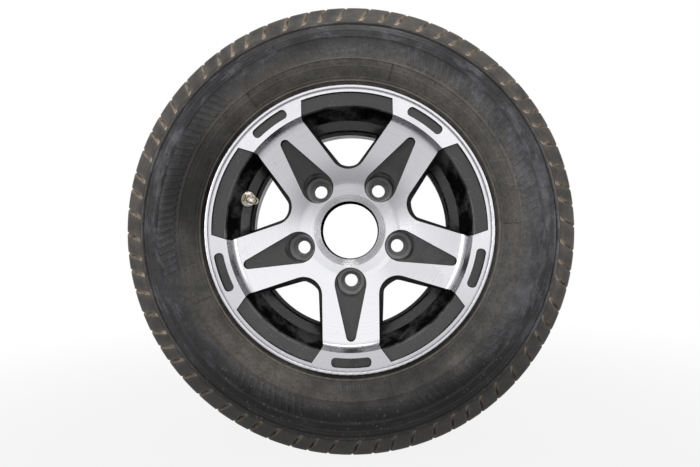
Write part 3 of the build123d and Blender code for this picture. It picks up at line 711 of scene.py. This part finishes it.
def tread_half():
    """Outboard half of the tread, from the ring on the buttress to the middle: points, and their soil, painted
    highlight and shade. Rows run along the outline and columns around it. A row's slot has its own half width, and the
    row is turned by its own slant."""
    ring = np.array(TREAD_RING)
    y = np.concatenate([outline_y(ring[:, 0]), outline_y(np.array(BUTTRESS_RADII)), np.array(TREAD_ROWS)])
    row = np.arange(len(y))
    radius = outline_radius(y)
    lift = np.zeros_like(y)
    lift[:len(ring)] = ring[:, 1]
    groove = np.max([np.interp(np.abs(y - middle), *GROOVE_WALL) for middle in GROOVE_MIDDLES], axis=0)
    # A tiny step keeps the radius rising where the outline is level
    away = np.where((y > BUTTRESS_Y)[:, None], outward(y, radius + 1e-9 * row), np.array((1.0, 0.0)))
    top = np.stack([radius - groove, y], -1) + away * lift[:, None]

    in_shoulder = (y > SLOT_END_Y - 0.15) & (radius > SLOT_RADII[0]) & (lift == 0)
    sipe = SIPE_DEPTH * sum(np.interp(y, sipe, (0, 1, 1, 0)) for sipe in SIPES)
    cut = np.stack([np.minimum(top[:, 0], radius - sipe), y], -1)
    floor = np.where(in_shoulder[:, None], slot_floor(y), cut)
    whole = ~in_shoulder & (sipe == 0)
    floor[whole] = top[whole]
    half = np.where(in_shoulder, np.interp(radius, SLOT_RADII, (SLOT_TIP_HALF, SLOT_HALF)), SIPE_HALF)
    turn = pitch_turns(half / radius, BLOCK_BEVEL / radius) + slant_turn(y)[None, :, None]

    edge = np.stack([top[:, 0] - 0.3, top[:, 1]], -1)
    bevelled = np.where(whole[:, None], top, edge)
    place = np.stack([floor, floor, bevelled] + [top] * 6 + [bevelled], 1)
    soil = np.stack([np.where(in_shoulder, level, GROOVE_SOIL * (groove > 0.5)) for level in COLUMN_SOIL], 1)
    soil = soil + np.interp(row, np.arange(len(ring)), RING_SOIL_AND_HIGHLIGHT, right=0)[:, None]
    shade = np.interp(row, *RING_SHADE)[:, None]
    r, depth = place[None, ..., 0], place[None, ..., 1] + 0 * turn
    points = np.stack([r * np.cos(turn), -depth, r * np.sin(turn)], -1)

    def in_line(numbers):
        """Pitches stand one after the other, so pitch and column join into one row number."""
        return np.broadcast_to(numbers, turn.shape).transpose(0, 2, 1).reshape(-1, len(y))

    return points.transpose(0, 2, 1, 3).reshape(-1, len(y), 3), {"soil": in_line(soil), "hollow": in_line(shade)}


def raised_marks(angle, width, low, high, height, lean):
    """Raised blocks on the sidewall. Each is a grid over its width and its radial length, lifted off the tyre's own
    outline. The outermost rows sink below the rubber, so the sides are closed. Angles are degrees, the rest
    millimetres, one value per block."""
    across = np.array((-0.10, 0.0, 0.15, 0.22, 0.78, 0.85, 1.0, 1.10))
    along = np.array((-0.05, 0.0, 0.10, 0.15, 0.5, 0.85, 0.90, 1.0, 1.05))
    lifted = ((across >= 0) & (across <= 1))[:, None] & ((along >= 0) & (along <= 1))
    angle, width, low, high, height, lean = (np.asarray(value, float)[:, None, None] for value in
                                             np.broadcast_arrays(angle, width, low, high, height, lean))
    shift = (across[:, None] - 0.5) * width + lean * (along - 0.5)
    turn = np.radians(angle) + shift / (0.5 * (low + high))
    radius = low + along * (high - low) + 0 * turn
    y = outline_y(radius) + ring_relief(radius) + np.where(lifted, height, -MARK_SINK)
    return np.stack([radius * np.cos(turn), -y, radius * np.sin(turn)], -1)


def mark_rows(sectors, radius, width, gap):
    """Angles and widths of rows of blocks, one row in each sector (first, last) in degrees. Width and the gap between
    neighbours are millimetres at the radius."""
    step = np.degrees((width + gap) / radius)
    lead = np.degrees(0.5 * width / radius + gap / radius)
    angles = np.concatenate([np.arange(first + lead, last, step) for first, last in sectors])
    return angles, np.full(len(angles), width)


def vent_stubs(angle, radius):
    """Small stubs left by the mould's vents: a domed pin, spun about its own axis, on each place."""
    spin = np.arange(8)[:, None] * pi / 4
    reach, rise = np.array((0.62, 0.58, 0.5, 0.3, 0.0)), np.array((-0.4, 0.35, 0.55, 0.7, 0.75))
    angle, radius = np.radians(angle)[:, None, None], np.full(len(angle), radius)[:, None, None]
    y = outline_y(radius) + ring_relief(radius)
    return np.stack([radius * np.cos(angle) + reach * np.cos(spin), -(y + rise + 0 * spin),
                     radius * np.sin(angle) + reach * np.sin(spin)], -1)


def make_tyre():
    """Carcass, both halves of the tread, and both sidewalls' marks. Attributes carry soil with painted highlight,
    raised marks and shade.
    """
    profile = carcass_profile()
    radius, depth = profile[:, 0], np.abs(profile[:, 1])
    under_ridge = (radius > 199.8) & (radius < 203.5) & (depth > 88.0)
    make_piece("tyre_carcass", [(spun(profile, CARCASS_TURNS), True, True)], RUBBER, replaces=["tyre"],
               values={"soil": np.tile(crest_dust_and_highlight(radius) * (depth > 75.0), CARCASS_TURNS),
                       "hollow": np.tile(under_ridge, CARCASS_TURNS)})
    tread, dirt = tread_half()
    stubs = np.concatenate([vent_stubs(np.arange(first, 360, step), at) for first, step, at in VENT_ROWS])
    # Each kind of mark: points, whether its rows close to a ring, level of raised, level of shade
    marks = [
        (raised_marks(*mark_rows(RIB_SECTORS, 176.0, 3.4, 3.4), 168.6, 184.0, 0.6, 5.0), False, 1.0, 0.0),
        (raised_marks(*mark_rows(TICK_SECTORS, 154.0, 1.5, 1.5), 151.2, 156.0, 0.4, 0.6), False, 1.0, 0.0),
        (raised_marks(np.arange(11.0, 360.0, 30.0), 0.5, 187.4, 198.6, 0.25, 0.0), False, 0.0, 0.5),
        (raised_marks(np.array(JOINT_ANGLES), 0.6, 150.2, 164.0, 0.3, 0.0), False, 0.0, 1.0),
        (stubs, True, 0.0, 0.6),
    ]
    levels = {key: np.concatenate([np.full(mark[0][..., 0].size, mark[index]) for mark in marks])
              for key, index in (("raised", 2), ("hollow", 3))}
    # The inboard side is the same shape, half a turn about Z away
    for kind, grids, values in (("tread_", [(tread, True)], dirt), ("marks_", [mark[:2] for mark in marks], levels)):
        for side, turned in (("outboard", (1.0, 1.0, 1.0)), ("inboard", (-1.0, -1.0, 1.0))):
            make_piece(kind + side, [(points * np.array(turned), ring, False) for points, ring in grids], RUBBER,
                       values=values)


make_tyre()


# Valve

def valve_stem():
    """Stem spun about the valve's axis: radius is the turned profile less a V thread, whose depth is a triangle wave
    of (distance along the axis / pitch - angle / turn)."""
    across = np.cross(VALVE_AXIS, (0.0, 1.0, 0.0))
    across /= np.linalg.norm(across)
    along = np.cross(VALVE_AXIS, across)
    y = np.concatenate([np.linspace(1.0, 9.4, 43), np.linspace(9.5, 10.2, 3), np.linspace(10.3, 16.3, 49)])
    outer = np.where(y < SHANK_END, SHANK_RADIUS, MOUTH_RADIUS)
    threaded = ((y > 1.2) & (y < 9.2)) | ((y > 10.4) & (y < 16.2))
    thread = threaded * np.where(y < SHANK_END, SHANK_THREAD, MOUTH_THREAD)
    end = np.array(STEM_END)
    y = np.concatenate([y, end[:, 0]])
    outer = np.concatenate([outer, end[:, 1]])
    thread = np.concatenate([thread, np.zeros(len(end))])
    spin = np.arange(STEM_TURNS)[:, None] * 2 * pi / STEM_TURNS
    phase = (y / THREAD_PITCH - spin / (2 * pi)) % 1.0
    radius = outer - thread * np.abs(2 * phase - 1)
    offset = radius[..., None] * (np.cos(spin)[..., None] * across + np.sin(spin)[..., None] * along)
    return VALVE_SEAT + offset + (y + 0 * spin)[..., None] * VALVE_AXIS


def coiled_spring():
    """The spring's own solid with joined triangles, which takes the place of the CAD node with its placement baked in."""
    mesh = joined_copy("core_spring", "core_spring_coil", PIECE_SHARP)
    mesh.materials.append(STEEL)
    piece = add_object("core_spring_coil", mesh)
    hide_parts("core_spring")
    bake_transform(piece)


make_piece("valve_stem_threaded", [(valve_stem()[::-1], True, True)], NICKEL, replaces=["valve_stem"])
coiled_spring()

# CAD nodes that stay
for name, material in (("valve_nut", NICKEL), ("valve_washer", NICKEL), ("core_pin", NICKEL), ("core_plug", BRASS),
                       ("core_barrel", BRASS), ("core_cup", BRASS), ("core_gasket", SEAL),
                       ("core_seal", SEAL), ("valve_grommet", SEAL)):
    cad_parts[name].data.materials.clear()
    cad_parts[name].data.materials.append(material)


# Rim

def along_run(corners, spacing=0.3):
    """Points and normals of a turned run at even steps. The normal is the run's own direction turned by a quarter,
    so that it looks away from the metal."""
    line = rounded_outline(corners, 31)
    walked = np.concatenate([[0], np.cumsum(np.hypot(*np.diff(line, axis=0).T))])
    steps = np.linspace(0, walked[-1], max(3, int(walked[-1] / spacing)))
    points = np.stack([np.interp(steps, walked, line[:, axis]) for axis in (0, 1)], -1)
    way = np.gradient(points, axis=0)
    normals = np.stack([way[:, 1], -way[:, 0]], -1)
    return points, normals / np.linalg.norm(normals, axis=1)[:, None]


def read_numbers(items, key, width):
    """A mesh's numbers as an array with one row per item."""
    numbers = np.empty(len(items) * width, np.float32)
    items.foreach_get(key, numbers)
    return numbers.reshape(-1, width)


def nearest_on_run(place, points):
    """Index of the run's point nearest to each place (radius, y), and the distance to it."""
    gap = np.hypot(place[:, None, 0] - points[:, 0], place[:, None, 1] - points[:, 1])
    return gap.argmin(1), gap.min(1)


def area_normals(corner_vertex, face_of, facing, area, limit):
    """Normal of every face corner: the sum of the normals of all faces at its vertex that lie within the limit of its
    own face, each times its area. Corners are sorted by vertex, so that each meets its vertex's others in one run."""
    order = np.argsort(corner_vertex, kind="stable")
    count = np.bincount(corner_vertex)
    first = np.concatenate([[0], np.cumsum(count)[:-1]])
    others = count[corner_vertex]
    this = np.repeat(np.arange(len(corner_vertex)), others)
    step = np.arange(len(this)) - np.repeat(np.cumsum(others) - others, others)
    face, other = face_of[this], face_of[order[first[corner_vertex[this]] + step]]
    share = area[other] * ((facing[face] * facing[other]).sum(1) > cos(limit))
    normal = np.stack([np.bincount(this, share * facing[other, axis]) for axis in range(3)], -1)
    return normal / np.linalg.norm(normal, axis=1)[:, None]


def finish_of(middle, facing, finishes):
    """Index of each painted face's finish. It goes by where the middle lies, along and across the nearest spoke and
    around the nearest bolt, and by how far the face looks to the front."""
    radius, y, front = np.hypot(middle[:, 0], middle[:, 2]), middle[:, 1], facing[:, 1]
    spacing = 360.0 / SPOKES
    turn = np.degrees(np.arctan2(middle[:, 2], middle[:, 0]))
    off_spoke = np.radians((turn + 90.0 + spacing / 2) % spacing - spacing / 2)
    along, across = radius * np.cos(off_spoke), np.abs(radius * np.sin(off_spoke))
    in_pocket = (across < POCKET_HALF) & (along > POCKET_REACH[0]) & (along < POCKET_REACH[1]) & (y < POCKET_BACK_Y)
    from_bolt = np.hypot(along - BOLT_RADIUS, across)
    in_seat = (from_bolt > SEAT_RADII[0]) & (from_bolt < SEAT_RADII[1]) & (y > SEAT_FRONT_Y)
    in_lip = radius > LIP_RADIUS
    rules = [
        ((radius < BORE_RADIUS) | ((from_bolt < HOLE_RADIUS) & (front > -0.2)), HOLE),
        # Painted light on the bolt seats
        (in_seat & (front < -0.3), SEAT),
        ((from_bolt < WELL_RADIUS) & (np.abs(front) < 0.3) & (y < 0.0), WELL),
        # Painted shade: the pockets' steep walls take the dark, dull barrel paint, which outlines each pocket
        (in_pocket & (np.abs(front) < 0.5), BARREL),
        (in_pocket, POCKET),
        (in_lip & (front < -0.6), LEDGE),
        (in_lip & (front < -0.2), SLOPE),
        (front > 0.04, REAR),
    ]
    return np.select([where for where, _ in rules], [finishes.index(paint) for _, paint in rules],
                     finishes.index(BARREL))


def dressed_rim():
    """The rim's own solid with joined triangles and nine finishes. A face is machined where its middle lies on a run
    of the turned outline and it looks the same way; there every corner takes the outline's normal, spun to the
    corner's angle. The rest is painted."""
    mesh = joined_copy("rim", "rim_dressed", RIM_SHARP)
    middle, facing = read_numbers(mesh.polygons, "center", 3) / MM, read_numbers(mesh.polygons, "normal", 3)
    face_of = np.repeat(np.arange(len(mesh.polygons)), read_numbers(mesh.polygons, "loop_total", 1).ravel().astype(int))
    corner_vertex = read_numbers(mesh.loops, "vertex_index", 1).ravel().astype(int)
    spot = read_numbers(mesh.vertices, "co", 3)[corner_vertex] / MM
    corner_normal = area_normals(corner_vertex, face_of, facing, read_numbers(mesh.polygons, "area", 1).ravel(),
                                 RIM_SHARP)

    radius = np.hypot(middle[:, 0], middle[:, 2])
    place = np.stack([radius, middle[:, 1]], -1)
    looks = np.stack([(facing[:, 0] * middle[:, 0] + facing[:, 2] * middle[:, 2]) / radius, facing[:, 1]], -1)
    spot_radius = np.hypot(spot[:, 0], spot[:, 2])
    away = np.stack([spot[:, 0] / spot_radius, 0 * spot_radius, spot[:, 2] / spot_radius], -1)
    machined = np.zeros(len(middle), bool)
    for points, normals in map(along_run, MACHINED_RUNS):
        index, gap = nearest_on_run(place, points)
        same_way = (looks * normals[index]).sum(1) > MACHINED_COSINE
        on_run = (gap < MACHINED_GAP) & same_way & ~machined
        machined |= on_run
        corner = np.flatnonzero(on_run[face_of])
        normal = normals[nearest_on_run(np.stack([spot_radius[corner], spot[corner, 1]], -1), points)[0]]
        corner_normal[corner] = away[corner] * normal[:, :1] + np.array((0, 1, 0)) * normal[:, 1:]

    finishes = [SKIN, POCKET, LEDGE, SLOPE, BARREL, SEAT, HOLE, REAR, WELL]
    for material in finishes:
        mesh.materials.append(material)
    painted = finish_of(middle, facing, finishes)
    mesh.polygons.foreach_set("material_index", np.where(machined, 0, painted).astype(np.int32))
    mesh.normals_split_custom_set(corner_normal)
    piece = add_object("rim_dressed", mesh)
    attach(piece, "wheel")
    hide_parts("rim")


dressed_rim()


# Studio

def seen_directly(tree):
    """1 for rays from the camera, from shiny surfaces and through glass, and 0 for those that light the wheel."""
    rays = node(tree, "ShaderNodeLightPath").outputs
    return reckon(tree, "MAXIMUM", rays["Is Camera Ray"], reckon(
        tree, "MAXIMUM", rays["Is Glossy Ray"], rays["Is Transmission Ray"]))


def white_floor():
    """Square floor that is white but for the wheel's shadow, which fades out towards its edges."""
    material, tree, _ = new_material("studio_floor")
    tree.nodes.clear()
    lit = node(tree, "ShaderNodeBsdfDiffuse", {"Color": (0.22, 0.22, 0.22, 1)}).outputs[0]
    white = node(tree, "ShaderNodeEmission", {"Color": (1, 1, 1, 1), "Strength": 1.0}).outputs[0]
    share = between(tree, vector(tree, "LENGTH", object_place(tree))["Value"], 0.25, 1.1, 0.88, 1.0)
    both = node(tree, "ShaderNodeMixShader", {0: times(tree, seen_directly(tree), share), 1: lit, 2: white}).outputs[0]
    tree.links.new(both, node(tree, "ShaderNodeOutputMaterial").inputs[0])
    mesh = bpy.data.meshes.new("studio_floor")
    corners = [(x * FLOOR_HALF, y * FLOOR_HALF, FLOOR_LEVEL) for x, y in ((-1, -1), (1, -1), (1, 1), (-1, 1))]
    mesh.from_pydata(corners, [], [(0, 1, 2, 3)])
    mesh.materials.append(material)
    floor = add_object("studio_floor", mesh)


def white_air():
    """White surroundings. They light the wheel less than they show."""
    world = bpy.data.worlds.new("studio_air")
    bpy.context.scene.world = world
    world.use_nodes = True
    tree = world.node_tree
    strength = node(tree, "ShaderNodeMapRange", {"Value": seen_directly(tree), "To Min": AIR_STRENGTH, "To Max": 1.0})
    tree.nodes["Background"].inputs["Color"].default_value = (1, 1, 1, 1)
    tree.links.new(strength.outputs[0], tree.nodes["Background"].inputs["Strength"])


def soft_lamps():
    """Large soft lamps, each turned to the wheel's centre."""
    for name, place, width, height, power in LAMPS:
        lamp = bpy.data.lights.new(name, "AREA")
        lamp.shape, lamp.size, lamp.size_y, lamp.energy = "RECTANGLE", width, height, power
        back = np.array(place) / np.linalg.norm(place)
        right = np.cross((0.0, 0.0, 1.0), back)
        right /= np.linalg.norm(right)
        axes = np.stack([right, np.cross(back, right), back], 1)
        add_object(name, lamp).matrix_world = Matrix([(*row, at) for row, at in zip(axes, place)] + [(0, 0, 0, 1)])


def front_camera():
    """Camera nearly on the axle, with a wide lens."""
    camera = bpy.data.cameras.new("photo_camera")
    camera.sensor_width, camera.lens = SENSOR_WIDTH, FOCAL_SHARE * SENSOR_WIDTH
    about_z, about_x, about_y = (Matrix.Rotation(radians(turn), 4, axis) for turn, axis in zip(CAMERA_TURNS, "ZXY"))
    holder = add_object("photo_camera", camera)
    upright = Matrix.Rotation(radians(90.0), 4, "X")
    holder.matrix_world = Matrix.Translation(CAMERA_PLACE) @ about_z @ about_x @ about_y @ upright
    bpy.context.scene.camera = holder


white_floor()
white_air()
soft_lamps()
front_camera()
bpy.context.scene.view_settings.view_transform = "Standard"
